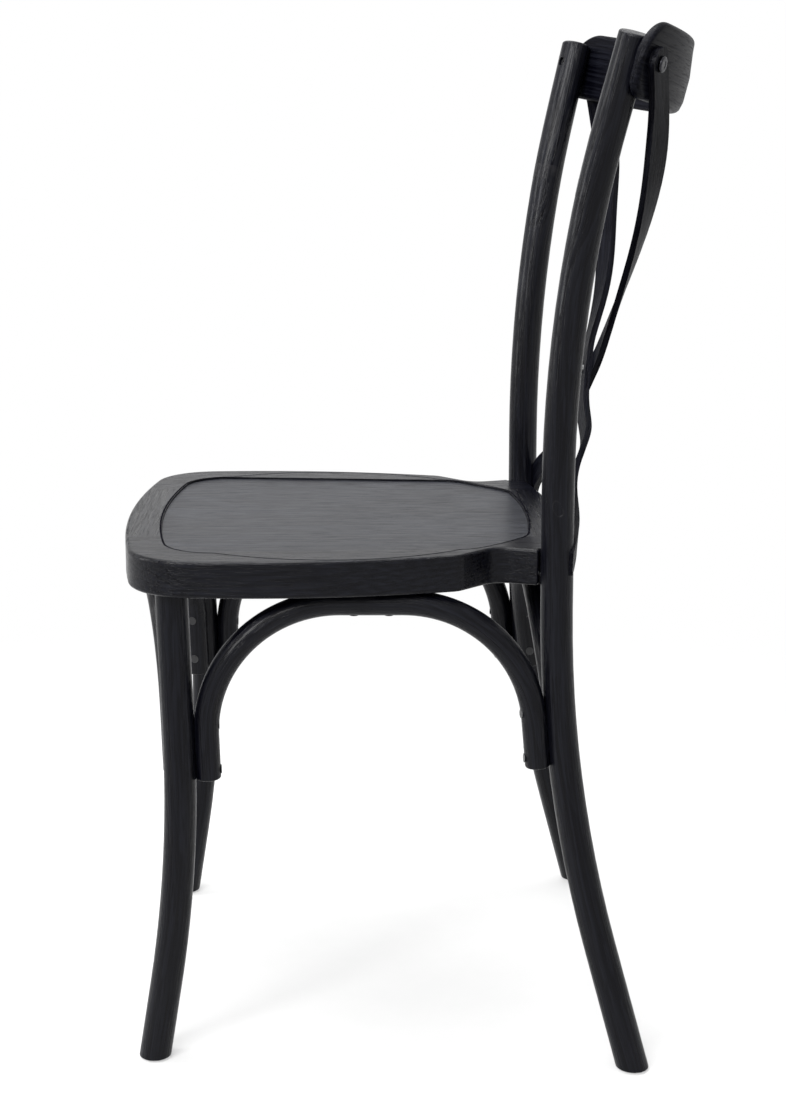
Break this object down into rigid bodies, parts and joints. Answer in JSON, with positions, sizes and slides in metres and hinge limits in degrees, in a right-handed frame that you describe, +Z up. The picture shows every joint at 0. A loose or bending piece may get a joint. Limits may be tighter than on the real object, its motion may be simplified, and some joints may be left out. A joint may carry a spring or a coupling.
{
  "type": "cross back chair",
  "caption": "Bentwood dining chair with crossed back slats, a bent crest rail, a flat panel seat and bent arches bracing splayed legs.",
  "frame": {"origin": "centre of the chair's bounding box, on the floor", "axes": "+Z up, the chair faces -Y, +X is the sitter's left"},
  "size_m": [0.453, 0.5023, 0.8936],
  "materials": {
    "black_wood": "black stain under satin lacquer, the grain shows in relief",
    "black_panel": "black stain on veneered plywood under satin lacquer",
    "steel": "zinc plated",
    "bare_wood": "raw beech",
    "glide": "moulded"
  },
  "bodies": {
    "root": {"rear_leg_left": "black_wood", "rear_leg_right": "black_wood", "front_leg_left": "black_wood", "front_leg_right": "black_wood", "side_arch_left": "black_wood", "side_arch_right": "black_wood", "front_arch": "black_wood", "rear_arch": "black_wood", "seat_side_rail_left": "black_wood", "seat_side_rail_right": "black_wood", "seat_front_rail": "black_wood", "seat_rear_rail": "black_wood", "crest_rail": "black_wood", "cross_slat_rear": "black_wood", "cross_slat_front": "black_wood", "post_plugs": "black_wood", "seat_panel": "black_panel", "crest_bolts": "steel", "crest_nuts": "steel", "seat_post_bolts": "steel", "post_threaded_inserts": "steel", "arch_end_screws": "steel", "arch_top_screws": "steel", "panel_screws": "steel", "slat_foot_screws": "steel", "slat_crossing_rivet": "steel", "seat_dowels": "bare_wood", "foot_glides": "glide"}
  },
  "joints": []
}
